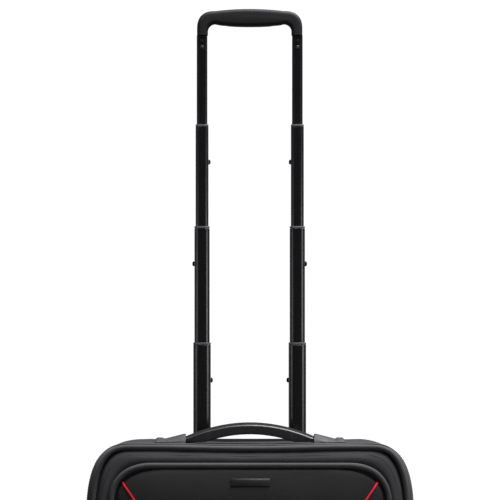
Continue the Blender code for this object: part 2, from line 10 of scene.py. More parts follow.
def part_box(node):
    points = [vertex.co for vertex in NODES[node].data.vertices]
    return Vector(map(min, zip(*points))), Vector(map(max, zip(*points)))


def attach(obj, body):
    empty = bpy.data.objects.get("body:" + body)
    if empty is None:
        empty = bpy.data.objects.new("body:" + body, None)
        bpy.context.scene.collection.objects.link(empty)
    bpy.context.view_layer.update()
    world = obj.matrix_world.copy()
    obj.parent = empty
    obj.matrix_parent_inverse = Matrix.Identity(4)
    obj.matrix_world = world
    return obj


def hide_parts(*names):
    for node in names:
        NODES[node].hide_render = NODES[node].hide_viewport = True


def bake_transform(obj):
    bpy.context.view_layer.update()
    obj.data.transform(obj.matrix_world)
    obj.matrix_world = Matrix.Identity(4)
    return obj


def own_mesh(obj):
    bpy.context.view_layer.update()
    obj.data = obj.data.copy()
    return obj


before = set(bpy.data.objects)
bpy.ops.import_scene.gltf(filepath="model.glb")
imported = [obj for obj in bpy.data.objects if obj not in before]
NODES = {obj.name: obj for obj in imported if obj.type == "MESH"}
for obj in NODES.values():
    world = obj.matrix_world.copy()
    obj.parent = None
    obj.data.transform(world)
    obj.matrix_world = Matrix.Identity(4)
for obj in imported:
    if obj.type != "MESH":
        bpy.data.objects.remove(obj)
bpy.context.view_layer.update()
SIDES = ((-1, "left"), (1, "right"))

# ---- sizes, in metres
SHELL_LOW, SHELL_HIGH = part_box("body_shell")
HALF = SHELL_HIGH.x
TOP, BOTTOM = SHELL_HIGH.z, SHELL_LOW.z
BACK_Y = SHELL_HIGH.y
CASE_CORNER = (0.048, 0.1, 2.8)    # top corner: extent in X, in Z, superellipse exponent
BACK_CORNER = (0.07, 0.085, 2.6)    # the same at the back
POCKET_CORNER = (0.052, 0.05, 2.45)
MORPH = (0.184, 0.17)     # between these half widths one corner turns into the other
LOW_CORNER = 0.045
SAG = 0.0018                 # the middle of the top hangs this much lower
SAG_HALF = 0.135
SPLIT_Y = -0.0684            # where the zipper's two halves meet
FOLD_Y = -0.064             # front fold of the body fabric
ZIP_END_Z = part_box("zipper_chain_lid")[0].z
RUNS = (26, 18, 54, 30, 24)  # points on: half the bottom, corner, side, corner, half the top
CLEAR = 0.0003


# ---- mesh helpers
QUARTER = pi / 2
FRONT, BACK, RIGHT = (0, -1, 0), (0, 1, 0), (1, 0, 0)


def lengths(points):
    """Distance along a line, at each of its points."""
    return np.concatenate([[0], np.cumsum(np.linalg.norm(np.diff(points, axis=0), axis=1))])


def loop_lengths(points):
    return lengths(np.concatenate([points, points[:1]]))


def resample(points, count):
    """The open line through points as count + 1 evenly spaced points."""
    points = np.asarray(points, float)
    along = lengths(points)
    wanted = np.linspace(0, along[-1], count + 1)
    return np.column_stack([np.interp(wanted, along, points[:, k]) for k in range(points.shape[1])])


def outline(half, bottom, top, corner, corner_low):
    """Closed XZ outline, from the middle of the bottom round by the +X side."""
    wide, tall, power = corner
    turn = np.linspace(0, QUARTER, 60)
    a = np.cos(turn).clip(0) ** (2 / power)
    b = np.sin(turn).clip(0) ** (2 / power)
    low = np.column_stack([half - corner_low + corner_low * b, bottom + corner_low - corner_low * a])
    high = np.column_stack([half - wide + wide * a, top - tall + tall * b])
    runs = [[(0, bottom), low[0]], low, [low[-1], high[0]], high, [high[-1], (0, top)]]
    right = np.concatenate([resample(run, n)[:-1] for run, n in zip(runs, RUNS)] + [[(0, top)]])
    left = right[1:-1][::-1] * (-1, 1)
    return np.concatenate([right, left])


def ring(y, half, top, bottom):
    """One ring of a skin round the case, with corners that suit its inset."""
    morph = np.clip((MORPH[0] - half) / (MORPH[0] - MORPH[1]), 0, 1)
    inset = max(HALF - half, 0) * (1 - morph)
    rear = np.clip((y + 0.0655) / 0.1455, 0, 1)
    corner = [c + (b - c) * rear + (p - c) * morph for c, b, p in zip(CASE_CORNER, BACK_CORNER, POCKET_CORNER)]
    most_wide, most_tall = half * 0.9, (top - bottom) * 0.45
    corner[0] = min(max(corner[0] - (0.25 + 0.75 * rear) * inset, 0.008), most_wide)
    corner[1] = min(max(corner[1] - (0.4 + 0.6 * rear) * inset, 0.008), most_tall)
    flat = outline(half, bottom, top, corner, min(LOW_CORNER, most_wide, most_tall))
    share = np.clip(np.abs(flat[:, 0]) / SAG_HALF, 0, 1)
    high = np.clip((flat[:, 1] - top + 0.03) / 0.02, 0, 1)
    flat[:, 1] -= SAG * (1 - morph) * high * np.cos(share * pi / 2) ** 2
    return np.column_stack([flat[:, 0], np.full(len(flat), y), flat[:, 1]])


def inset_ring(y, inset):
    return ring(y, HALF - inset, TOP - inset, BOTTOM + inset)


def smooth(mesh, angle):
    """Smooth shading, with edges sharper than angle kept sharp."""
    mesh.shade_smooth()
    if angle:
        mesh.set_sharp_from_angle(angle=radians(angle))


def linked(obj):
    bpy.context.scene.collection.objects.link(obj)
    return obj


def object_from(name, mesh, mats):
    """A linked object, with materials given by their keys in MAT."""
    obj = linked(bpy.data.objects.new(name, mesh))
    for key in [mats] if isinstance(mats, str) else mats:
        mesh.materials.append(MAT[key])
    return obj


def add_object(name, verts, faces, mats, uvs=None, angle=None):
    mesh = bpy.data.meshes.new(name)
    mesh.from_pydata([tuple(map(float, v)) for v in verts], [], faces)
    if uvs is not None:
        layer = mesh.uv_layers.new(name="metres")
        layer.data.foreach_set("uv", np.asarray(uvs, np.float32).ravel())
    obj = object_from(name, mesh, mats)
    smooth(mesh, angle)
    return obj


def mesh_of(name, bm):
    mesh = bpy.data.meshes.new(name)
    bm.to_mesh(mesh)
    bm.free()
    return mesh


def edit_mesh(mesh, change):
    bm = bmesh.new()
    bm.from_mesh(mesh)
    change(bm)
    bm.to_mesh(mesh)
    bm.free()


def even_normals(obj, merge=False):
    def change(bm):
        if merge:
            bmesh.ops.remove_doubles(bm, verts=bm.verts, dist=1e-6)
        bmesh.ops.recalc_face_normals(bm, faces=bm.faces)

    edit_mesh(obj.data, change)
    return obj


def apply_modifiers(obj):
    bpy.context.view_layer.update()
    final = bpy.data.meshes.new_from_object(obj.evaluated_get(bpy.context.evaluated_depsgraph_get()))
    obj.modifiers.clear()
    obj.data = final


def quads(rows, count, loop=False, wrap=True):
    """Faces between rows of count points. Loop joins the last row to the first, wrap each row's ends."""
    return [(r * count + n, r * count + (n + 1) % count,
             (r + 1) % rows * count + (n + 1) % count, (r + 1) % rows * count + n)
            for r in range(rows if loop else rows - 1) for n in range(count if wrap else count - 1)]


def skin(name, rings, mats, closed=True, fan_first=False, fan_last=False):
    """A surface through rings of points, with a UV map in metres.

    Faces that look along Y take (x, z); the others take (length round, length across)."""
    rings = np.asarray(rings, float)
    rows, count, _ = rings.shape
    verts = list(rings.reshape(-1, 3))
    arc = loop_lengths(rings[0])
    across = np.concatenate([[0], np.cumsum(np.linalg.norm(np.diff(rings, axis=0), axis=2).mean(1))])
    faces = quads(rows, count, wrap=closed)
    ids = [((r, n), (r, n + 1), (r + 1, n + 1), (r + 1, n))
           for r in range(rows - 1) for n in range(count if closed else count - 1)]
    for want, r in ((fan_first, 0), (fan_last, rows - 1)):
        if want:
            middle = len(verts)
            verts.append(rings[r].mean(0))
            faces += [(r * count + n, r * count + (n + 1) % count, middle) for n in range(count)]
            ids += [((r, n), (r, n + 1), None) for n in range(count)]
    points = np.array(verts)
    uvs = []
    for face, where in zip(faces, ids):
        p = points[list(face)]
        normal = np.cross(p[1] - p[0], p[2] - p[0])
        flat = abs(normal[1]) > 0.72 * (np.linalg.norm(normal) + 1e-12) or None in where
        for corner, w in zip(p, where):
            uvs.append((corner[0], corner[2]) if flat else (arc[w[1]], across[w[0]]))
    obj = even_normals(add_object(name, verts, faces, mats, uvs))
    mesh = obj.data
    middle = sum((v.co for v in mesh.vertices), Vector()) / len(mesh.vertices)
    if sum(p.area * p.normal.dot((p.center - middle).normalized()) for p in mesh.polygons) < 0:
        mesh.flip_normals()
    return obj


def tube_from(name, rows, mats, angle=35):
    """A capped solid through rows of points."""
    count = len(rows[0])
    last = (len(rows) - 1) * count
    faces = quads(len(rows), count) + [tuple(range(count)), tuple(range(last, last + count))]
    return even_normals(add_object(name, [p for row in rows for p in row], faces, mats, angle=angle))


def sweep(name, path, section, mats, closed=False, across=BACK):
    """Section points (a, b), a along the side vector and b along across, swept on a path."""
    path = np.asarray(path, float)
    ahead = np.roll(path, -1, 0) - np.roll(path, 1, 0)
    if not closed:
        ahead[0], ahead[-1] = path[1] - path[0], path[-1] - path[-2]
    ahead /= np.linalg.norm(ahead, axis=1)[:, None]
    side = np.cross(ahead, across)
    side /= np.linalg.norm(side, axis=1)[:, None]
    up = np.cross(side, ahead)
    verts = np.concatenate([p + (s * section[:, :1] + u * section[:, 1:]) for p, s, u in zip(path, side, up)])
    length, turn = loop_lengths(path), loop_lengths(section)
    rows, count = len(path), len(section)
    faces = quads(rows, count, loop=closed)
    uvs = []
    for r in range(rows if closed else rows - 1):
        for n in range(count):
            uvs += [(length[r], turn[n]), (length[r], turn[n + 1]),
                    (length[r + 1], turn[n + 1]), (length[r + 1], turn[n])]
    if not closed:
        for r in (0, rows - 1):
            faces.append(tuple(range(r * count, (r + 1) * count)))
            uvs += [(a, b) for a, b in section]
    return even_normals(add_object(name, verts, faces, mats, uvs))


def piping(name, line, body, radius, count=12):
    """A round cord along a closed line, placed on a body."""
    return place(sweep(name, line, circle(radius, count), "piping", closed=True), body)


def circle(radius, count):
    turn = np.arange(count) * 2 * pi / count
    return np.column_stack([radius * np.cos(turn), radius * np.sin(turn)])


def rounded(width, depth, radius, steps=6):
    """Rounded rectangle section, centred."""
    points = []
    for quarter in range(4):
        sx = 1 if quarter in (0, 3) else -1
        sy = 1 if quarter in (0, 1) else -1
        for step in range(steps + 1):
            turn = pi / 2 * (quarter + step / steps)
            points.append((sx * (width / 2 - radius) + radius * cos(turn),
                    sy * (depth / 2 - radius) + radius * sin(turn)))
    return np.array(points)


def scatter(name, places, template, mats):
    """Copies of a small template (verts, faces) at places (centre, ahead, side, up), as one piece."""
    verts, faces = [], []
    shape, polygons = np.asarray(template[0], float), template[1]
    for centre, ahead, side, up in places:
        first = len(verts)
        verts += list(np.asarray(centre) + shape @ np.array([ahead, side, up]))
        faces += [tuple(first + i for i in f) for f in polygons]
    return add_object(name, verts, faces, mats)


def capsule(length, width, height):
    """A low rounded bar along its own X, with its middle at the origin."""
    ends = ((-0.5, 0.45), (-0.36, 1.0), (0.36, 1.0), (0.5, 0.45))
    around = [(cos(t), sin(t)) for t in (pi / 6 + i * pi / 3 for i in range(6))]
    verts = [(x * length, a * width / 2 * s, b * height / 2 * s) for x, s in ends for a, b in around]
    return verts, [tuple(range(5, -1, -1)), tuple(range(18, 24))] + quads(4, 6)


def places_along(path, pitch, up, start=0.0):
    """Frames every pitch along a path; up is a function of the point, or a fixed vector."""
    path = np.asarray(path, float)
    along = lengths(path)

    def at(d):
        return np.array([np.interp(d, along, path[:, k]) for k in range(3)])

    found = []
    for d in np.arange(start + pitch / 2, along[-1], pitch):
        p = at(d)
        ahead = at(min(d + pitch / 3, along[-1])) - at(max(d - pitch / 3, 0))
        ahead = ahead / (np.linalg.norm(ahead) + 1e-12)
        side = np.cross(np.asarray(up(p) if callable(up) else up, float), ahead)
        side /= np.linalg.norm(side) + 1e-12
        found.append((p, ahead, side, np.cross(ahead, side)))
    return found


def stitch(name, path, up, body, slot="fabric", pitch=0.0034, width=0.0007):
    """A row of stitches along a path, placed on a body."""
    row = scatter(name, places_along(path, pitch, up), capsule(pitch * 0.72, width, width * 0.8), "thread")
    return place(row, body, slot)


def block(name, low, high, mats, bevel=0.0015, segments=3):
    """A box with rounded edges."""
    low, high = Vector(low), Vector(high)
    bm = bmesh.new()
    size = Matrix.Diagonal((*(high - low), 1))
    bmesh.ops.create_cube(bm, size=1.0, matrix=Matrix.Translation((low + high) / 2) @ size)
    bmesh.ops.bevel(bm, geom=bm.edges[:], offset=bevel, segments=segments, profile=0.5, affect="EDGES")
    obj = object_from(name, mesh_of(name, bm), mats)
    smooth(obj.data, 50)
    return obj


def revolve(name, profile, centre, axis, mats, steps):
    """Profile points (radius, along axis), turned about an axis through centre."""
    axis = Vector(axis).normalized()
    one = axis.orthogonal().normalized()
    two = axis.cross(one)
    verts = []
    for step in range(steps):
        t = 2 * pi * step / steps
        out = one * cos(t) + two * sin(t)
        verts += [Vector(centre) + out * r + axis * a for r, a in profile]
    faces = quads(steps, len(profile), loop=True, wrap=False)
    return even_normals(add_object(name, verts, faces, mats, angle=35), merge=True)


def bisect(bm, point, normal, **options):
    return bmesh.ops.bisect_plane(bm, geom=bm.verts[:] + bm.edges[:] + bm.faces[:], plane_co=point,
            plane_no=normal, **options)


def cut_box(obj, low, high):
    """Removes the faces inside a box, after cutting the mesh along its sides. None leaves a side open."""
    def change(bm):
        for k in range(3):
            for value in (low[k], high[k]):
                if value is not None:
                    normal, point = [0, 0, 0], [0, 0, 0]
                    normal[k], point[k] = 1, value
                    bisect(bm, point, normal, dist=1e-6)
        inside = []
        for face in bm.faces:
            c = face.calc_center_median()
            if all((low[k] is None or c[k] > low[k]) and (high[k] is None or c[k] < high[k]) for k in range(3)):
                inside.append(face)
        bmesh.ops.delete(bm, geom=inside, context="FACES")

    edit_mesh(obj.data, change)


def rumple(obj, amount, size, seed, weight=lambda co: 1.0):
    """Small uneven cloth relief along the normals, the same on every run."""
    shift = Vector((seed, seed * 0.7, -seed))
    moves = [v.co + v.normal * amount * noise.noise(v.co / size + shift) * weight(v.co) for v in obj.data.vertices]
    for v, co in zip(obj.data.vertices, moves):
        v.co = co


def solidify(obj, thickness):
    mod = obj.modifiers.new("Solidify", "SOLIDIFY")
    mod.thickness, mod.offset = thickness, -1


def place(obj, body, slot="fabric", *nodes):
    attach(obj, body)
    if nodes:
        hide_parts(*nodes)
    return obj


# ---- materials
def add_node(tree, kind, inputs=None, **props):
    """A node with its properties set, and its inputs set or linked."""
    node = tree.nodes.new("ShaderNode" + kind)
    for key, value in props.items():
        setattr(node, key, value)
    for key, value in (inputs or {}).items():
        if isinstance(value, bpy.types.NodeSocket):
            tree.links.new(value, node.inputs[key])
        else:
            node.inputs[key].default_value = value
    return node


class Look:
    """A Principled material, with short ways to add its nodes."""

    def __init__(self, name, colour, roughness, **sockets):
        self.mat = bpy.data.materials.new(name)
        self.mat.use_nodes = True
        self.tree = self.mat.node_tree
        self.shader = self.tree.nodes["Principled BSDF"]
        self.colour = colour
        self.shader.inputs["Base Color"].default_value = (*colour, 1)
        self.shader.inputs["Roughness"].default_value = roughness
        for key, value in sockets.items():
            self.shader.inputs[key.replace("_", " ")].default_value = value
        self.coords = self.add("TexCoord")

    def add(self, kind, inputs=None, **props):
        return add_node(self.tree, kind, inputs, **props)

    def math(self, operation, *values):
        return self.add("Math", dict(enumerate(values)), operation=operation).outputs[0]

    def noise(self, scale, detail=3.0):
        return self.add("TexNoise", {"Vector": self.coords.outputs["Object"], "Scale": scale,
                "Detail": detail}).outputs["Fac"]

    def wave(self, period, direction, space, distortion):
        return self.add("TexWave", {"Vector": self.coords.outputs[space], "Scale": 0.31416 / period,
                "Distortion": distortion, "Detail": 1.0, "Detail Scale": 1.0},
                wave_type="BANDS", bands_direction=direction).outputs["Fac"]

    def remap(self, value, low, high, to_low, to_high):
        return self.add("MapRange", {"Value": value, "From Min": low, "From Max": high,
                "To Min": to_low, "To Max": to_high}).outputs["Result"]

    def tint(self, value, dark, light):
        """Base colour between two strengths of the look's colour, by a value from 0 to 1."""
        dark, light = (tuple(c * share for c in self.colour) for share in (dark, light))
        node = self.add("Mix", {"Factor": value, 6: (*dark, 1), 7: (*light, 1)}, data_type="RGBA")
        self.tree.links.new(node.outputs[2], self.shader.inputs["Base Color"])

    def rough(self, value):
        self.tree.links.new(value, self.shader.inputs["Roughness"])

    def bump(self, height, distance, strength):
        node = self.add("Bump", {"Height": height, "Distance": distance, "Strength": strength})
        self.tree.links.new(node.outputs["Normal"], self.shader.inputs["Normal"])


def cloth(name, colour, period=0.0011, sheen=0.35, relief=0.00022, rough=0.86, diagonal=False, space="UV"):
    """Woven fabric: crossing yarns, slubs, and slow colour drift."""
    look = Look(name, colour, rough, Sheen_Weight=sheen, Sheen_Roughness=0.45, Specular_IOR_Level=0.25)
    warp = look.wave(period, "DIAGONAL" if diagonal else "X", space, 0.4)
    weft = look.wave(period * 1.15, "Y", space, 0.4)
    yarn = look.math("MULTIPLY", warp, weft)
    slub = look.noise(900.0, detail=2.0)
    drift = look.noise(14.0, detail=4.0)
    look.bump(look.math("MULTIPLY_ADD", yarn, 0.7, slub), relief, 0.75)
    shade = look.math("MULTIPLY", look.remap(yarn, 0, 1, 0.35, 1.0), look.remap(drift, 0.3, 0.7, 0.55, 1.0))
    look.tint(shade, 0.55, 1.35)
    return look.mat


def ribbed(name, colour, period=0.0016, relief=0.0003, direction="X", sheen=0.2):
    look = Look(name, colour, 0.8, Sheen_Weight=sheen, Sheen_Roughness=0.5, Specular_IOR_Level=0.3)
    rib = look.wave(period, direction, "UV", 0.15)
    fine = look.noise(1100.0)
    look.bump(look.math("MULTIPLY_ADD", rib, 0.8, fine), relief, 0.8)
    look.tint(look.math("MULTIPLY", look.remap(rib, 0, 1, 0.4, 1), look.remap(look.noise(20.0), 0.3, 0.7, 0.6, 1)),
              0.5, 1.3)
    return look.mat


def moulded(name, colour, roughness, grain=1400.0, relief=0.00008, specular=0.4, wear=1.6):
    """Moulded plastic: fine spark grain, faint swirl, rubbed edges."""
    look = Look(name, colour, roughness, Specular_IOR_Level=specular)
    fine = look.noise(grain, detail=2.0)
    drift = look.noise(9.0, detail=4.0)
    edge = look.remap(look.add("NewGeometry").outputs["Pointiness"], 0.52, 0.6, 0.0, 1.0)
    value = look.math("MAXIMUM", look.remap(drift, 0.3, 0.7, 0.15, 0.45), edge)
    look.tint(value, 0.8, wear)
    look.rough(look.remap(look.noise(60.0), 0.3, 0.7, roughness * 0.88, roughness * 1.12))
    look.bump(fine, relief, 0.7)
    return look.mat


def brushed(name, colour, roughness, metallic=1.0):
    """Metal brushed along X."""
    look = Look(name, colour, roughness, Metallic=metallic)
    along = look.add("Mapping", {"Vector": look.coords.outputs["Object"], "Scale": (60, 2600, 2600)})
    lines = look.add("TexNoise", {"Scale": 1.0, "Detail": 3.0, "Vector": along.outputs[0]}).outputs["Fac"]
    look.tint(look.remap(lines, 0.3, 0.7, 0, 1), 0.75, 1.2)
    look.rough(look.remap(lines, 0.3, 0.7, roughness * 0.8, roughness * 1.3))
    look.bump(lines, 0.00003, 0.5)
    return look.mat


MAT = {
    "body": cloth("body_fabric", (0.034, 0.034, 0.037), sheen=0.1),
    "lid": cloth("lid_fabric", (0.084, 0.084, 0.091), sheen=0.05),
    "pocket": cloth("pocket_fabric", (0.026, 0.026, 0.027), period=0.0009, sheen=0.04, relief=0.00016),
    "corner": ribbed("corner_panel", (0.024, 0.024, 0.024), period=0.0018, sheen=0.03),
    "piping": cloth("piping_fabric", (0.08, 0.08, 0.084), period=0.001, sheen=0.08, diagonal=True),
    "tape": ribbed("zipper_tape", (0.02, 0.02, 0.022), period=0.0007, relief=0.00012),
    "thread": cloth("thread", (0.03, 0.03, 0.033), period=0.0004, space="Object", relief=0.0001),
    "red": ribbed("red_tape", (0.95, 0.013, 0.036), period=0.0006, relief=0.0001, direction="DIAGONAL", sheen=0.0),
    "lining": cloth("lining", (0.085, 0.085, 0.092), period=0.0007, sheen=0.3, relief=0.00008, diagonal=True),
    "mesh": ribbed("mesh_net", (0.03, 0.03, 0.032), period=0.0032, relief=0.0006, direction="DIAGONAL"),
    "webbing": ribbed("webbing", (0.03, 0.03, 0.033), period=0.0012, relief=0.0003),
    "coil": moulded("nylon_coil", (0.02, 0.02, 0.021), 0.42, relief=0.00003),
    "plastic": moulded("moulded_plastic", (0.03, 0.03, 0.032), 0.48),
    "ear": moulded("ear_plastic", (0.034, 0.034, 0.038), 0.6, wear=1.1),
    "grip": moulded("grip_plastic", (0.019, 0.019, 0.021), 0.62, relief=0.00006, wear=1.1, specular=0.2),
    "carry": moulded("carry_plastic", (0.034, 0.034, 0.037), 0.42, relief=0.00005, wear=1.3),
    "soft": moulded("soft_rubber", (0.014, 0.014, 0.015), 0.8, specular=0.12, wear=1.1),
    "button": moulded("button_plastic", (0.075, 0.085, 0.115), 0.4, wear=1.2),
    "tube": moulded("tube_enamel", (0.003, 0.0028, 0.0044), 0.2, grain=700.0, relief=0.0000008, specular=1.0, wear=1.3),
    # collar colour: mid grey, a painted highlight for the light band that the lamps put on the collar tops
    "collar": moulded("collar_painted_highlight_grey", (0.12, 0.12, 0.13), 0.42, wear=1.1),
    "rivet": brushed("rivet_metal", (0.078, 0.078, 0.084), 0.42, metallic=0.6),
    "steel": brushed("steel", (0.52, 0.52, 0.54), 0.3),
    "rubber": moulded("tyre_rubber", (0.018, 0.018, 0.018), 0.72, relief=0.00018, specular=0.25, wear=1.4),
    "hub": moulded("hub_plastic", (0.06, 0.06, 0.064), 0.4),
    "slider": brushed("slider_metal", (0.1, 0.1, 0.105), 0.34, metallic=0.9),
    "badge": brushed("badge_metal", (0.05, 0.05, 0.053), 0.36, metallic=0.8),
    "floor": Look("floor", (0.09, 0.09, 0.09), 0.8, Specular_IOR_Level=0.1).mat,
}


# ---- body
def body_swell(points):
    """The stuffed fabric stands out a little on the sides."""
    out = points.copy()
    depth = np.clip((points[:, 1] + 0.064) / 0.164, 0, 1)
    height = np.clip((points[:, 2] - BOTTOM) / (TOP - BOTTOM), 0, 1)
    side = np.abs(points[:, 0]) > HALF * 0.8
    lift = 0.0011 * np.sin(pi * depth) * np.sin(pi * height)
    out[:, 0] += np.where(side, np.sign(points[:, 0]) * lift, 0)
    return out


def body_profile(inset, first, wall=0.0):
    """Rings from the front edge round to the back; a wall gives the inner side."""
    rings = [inset_ring(y, i) for y, i in first]
    for y in np.linspace(-0.058, BACK_Y - 0.024, 22):
        rings.append(inset_ring(y, inset) if wall else body_swell(inset_ring(y, inset)))
    fillet = 0.02 - wall
    for t in np.linspace(0, QUARTER, 8):
        rings.append(inset_ring(BACK_Y - wall - fillet * (1 - sin(t)), inset + fillet * (1 - cos(t))))
    return rings + [inset_ring(BACK_Y - wall, inset + fillet + extra)
            for extra in (0.012, 0.03, 0.055, 0.085, 0.115, 0.145, 0.165)]


def ramp(value, length):
    """0 to 1 over a length."""
    return min(1.0, max(0.0, value / length))


def build_body():
    tape = [(SPLIT_Y + 0.0002, 0.0018), (-0.0668, 0.0018), (-0.0652, 0.0017), (-0.0648, 0.001),
            (-0.0643, 0.0004), (FOLD_Y + 0.0006, 0.0001), (-0.061, 0.0)]
    body = skin("body_fabric_skin", body_profile(0.0, tape), ["body", "tape"], fan_last=True)
    for polygon in body.data.polygons:
        if polygon.center.y < -0.065:
            polygon.material_index = 1
    for side, word in SIDES:
        low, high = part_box("wheel_housing_" + word)
        xs = sorted((side * (min(abs(low.x), abs(high.x)) - CLEAR), side * 0.3))
        cut_box(body, (xs[0], 0.036 - CLEAR, None), (xs[1], None, 0.1 + CLEAR))
    low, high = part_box("handle_bezel")
    cut_box(body, (low.x - CLEAR, low.y - CLEAR, 0.42), (high.x + CLEAR, high.y + CLEAR, None))
    rumple(body, 0.0009, 0.045, 3.1, lambda co: ramp(co.y + 0.06, 0.02))
    rumple(body, 0.00025, 0.011, 8.0, lambda co: ramp(co.y + 0.063, 0.01))
    solidify(body, 0.0016)
    place(body, "case", "fabric", "body_shell")

    lining = skin("body_lining", body_profile(0.0046, [(-0.0665, 0.0034), (-0.064, 0.0044)], 0.0042), "lining",
            fan_last=True)
    lining.data.flip_normals()
    for side, word in SIDES:
        xs = sorted((side * 0.145, side * 0.3))
        cut_box(lining, (xs[0], 0.04, None), (xs[1], None, 0.07))
        xs = sorted((side * 0.1445, side * 0.1955))
        cover = block("wheel_well_cover_" + word, (xs[0], 0.0395, 0.051), (xs[1], 0.0958, 0.0705), "lining", 0.004)
        place(cover, "case")
    cut_box(lining, (low.x, 0.0585, 0.42), (high.x, None, None))
    rumple(lining, 0.0009, 0.03, 5.5)
    place(lining, "case")

    for name, y, inset, radius in (("side", -0.023, 0.0002, 0.0016), ("back", BACK_Y - 0.0055, 0.0062, 0.0018)):
        piping(name + "_seam_piping", inset_ring(y, inset), "case", radius)

    def outward(p):
        for level, up in ((TOP, 1), (BOTTOM, -1)):
            if abs(p[2] - level) < 0.012 and abs(p[0]) < 0.15:
                return (0, 0, up)
        return (copysign(1, p[0]), 0, 0) if 0.1 < p[2] < 0.38 else (p[0], 0, p[2] - 0.245)

    for name, y in (("fold", FOLD_Y + 0.0038), ("seam_front", -0.0265), ("seam_rear", -0.0195)):
        stitch("body_stitches_" + name, body_swell(inset_ring(y, -0.0001)), outward, "case")
    path = body_swell(inset_ring(0.07, -0.0001))
    for side, word in SIDES:    # the middle is left free for the trolley handle
        stitch("body_stitches_back_" + word, path[(path[:, 2] > 0.104) & (side * path[:, 0] > 0.104)], outward, "case")
    back = [p for p in inset_ring(BACK_Y + 0.0001, 0.046) if p[2] > 0.088]
    stitch("back_panel_stitches", back, BACK, "case", pitch=0.0042, width=0.0009)


# ---- lid
LID_PROFILE = (  # y, half width, top, bottom
    (SPLIT_Y - 0.0002, 0.1982, 0.4484, 0.0478), (-0.0706, 0.1982, 0.4484, 0.0478), (-0.0722, 0.1983, 0.4485, 0.0477),
    (-0.0726, 0.1987, 0.4492, 0.0472), (-0.0731, 0.1990, 0.4499, 0.0468), (-0.0742, 0.1988, 0.4503, 0.0466),
    (-0.0758, 0.1980, 0.4510, 0.0468), (-0.0774, 0.1968, 0.4513, 0.0476), (-0.0790, 0.1954, 0.4512, 0.0484),
    (-0.0806, 0.1936, 0.4508, 0.0494), (-0.0812, 0.1926, 0.4506, 0.0500), (-0.0800, 0.1908, 0.4500, 0.0516),
    (-0.0770, 0.1898, 0.4494, 0.0528), (-0.0742, 0.1890, 0.4488, 0.0538), (-0.0734, 0.1880, 0.4482, 0.0546),
    (-0.0742, 0.1872, 0.4476, 0.0554), (-0.0775, 0.1866, 0.4470, 0.0560), (-0.0808, 0.1861, 0.4463, 0.0566),
    (-0.0834, 0.1852, 0.4448, 0.0576), (-0.0851, 0.1834, 0.4420, 0.0594), (-0.0862, 0.1810, 0.4398, 0.0614),
    (-0.0869, 0.1784, 0.4378, 0.0636), (-0.0871, 0.1764, 0.4358, 0.0654), (-0.0870, 0.1744, 0.4338, 0.0672),
    (-0.0866, 0.1728, 0.4322, 0.0688), (-0.0856, 0.1715, 0.4310, 0.0702), (-0.0846, 0.1690, 0.4285, 0.0726),
    (-0.0840, 0.1640, 0.4230, 0.0776), (-0.0840, 0.1400, 0.4050, 0.0980), (-0.0840, 0.0900, 0.3500, 0.1500),
    (-0.0840, 0.0400, 0.2900, 0.2100))


def build_lid():
    rings = [ring(*row) for row in LID_PROFILE]
    lid = skin("lid_fabric_skin", rings, ["lid", "tape"], fan_last=True)
    for polygon in lid.data.polygons:
        if polygon.center.y > -0.0724:
            polygon.material_index = 1
    rumple(lid, 0.0005, 0.03, 1.3, lambda co: ramp(-0.0735 - co.y, 0.004))
    rumple(lid, 0.0002, 0.009, 4.2, lambda co: ramp(-0.0735 - co.y, 0.004))
    solidify(lid, 0.0012)
    place(lid, "lid", "fabric", "lid_shell")

    inner = [(SPLIT_Y - 0.0004, 0.1962, 0.4462, 0.0498), (-0.072, 0.195, 0.4455, 0.051),
             (-0.076, 0.1925, 0.444, 0.053), (-0.0785, 0.1885, 0.4415, 0.0565), (-0.0796, 0.183, 0.436, 0.062),
             (-0.0799, 0.17, 0.423, 0.075), (-0.08, 0.14, 0.395, 0.105), (-0.08, 0.08, 0.33, 0.165),
             (-0.08, 0.03, 0.28, 0.22)]
    lining = skin("lid_lining", [ring(*row) for row in inner], "lining", fan_last=True)
    lining.data.flip_normals()
    place(lining, "lid")

    piping("rim_piping", ring(-0.0824, 0.1916, 0.4498, 0.051), "lid", 0.003, 16)
    stitch("lid_stitches_ring_outer", ring(-0.0859, 0.1817, 0.4404, 0.0608), FRONT, "lid")
    stitch("lid_stitches_ring_inner", ring(-0.0871, 0.1744, 0.4338, 0.0672), FRONT, "lid")

    net_rows = []
    xs = np.linspace(-0.155, 0.155, 40)
    for z in np.linspace(0.095, 0.36, 28):
        sag = 0.004 * (1 - ((z - 0.095) / 0.265 - 0.6) ** 2) * (1 - (xs / 0.155) ** 2)
        net_rows.append(np.column_stack([xs, -0.0788 + np.maximum(sag, 0), np.full(40, z)]))
    net = skin("lid_mesh_pocket", net_rows, "mesh", closed=False)
    solidify(net, 0.0006)
    place(net, "lid")
    hem_path = np.column_stack([np.linspace(-0.157, 0.157, 40),
            -0.0784 + 0.0035 * (1 - (np.linspace(-1, 1, 40)) ** 2), np.full(40, 0.362)])
    hem = sweep("lid_pocket_hem", hem_path, rounded(0.014, 0.0016, 0.0007, 2), "webbing")
    place(hem, "lid")


# ---- zippers
def zipper_path(y, inset):
    line = inset_ring(y, inset)
    keep = [p for p in line[:len(line) // 2 + 1] if p[2] > ZIP_END_Z]
    keep = [np.array([HALF - inset, y, ZIP_END_Z])] + keep
    return np.array(keep + [p * (-1, 1, 1) for p in keep[:-1][::-1]])


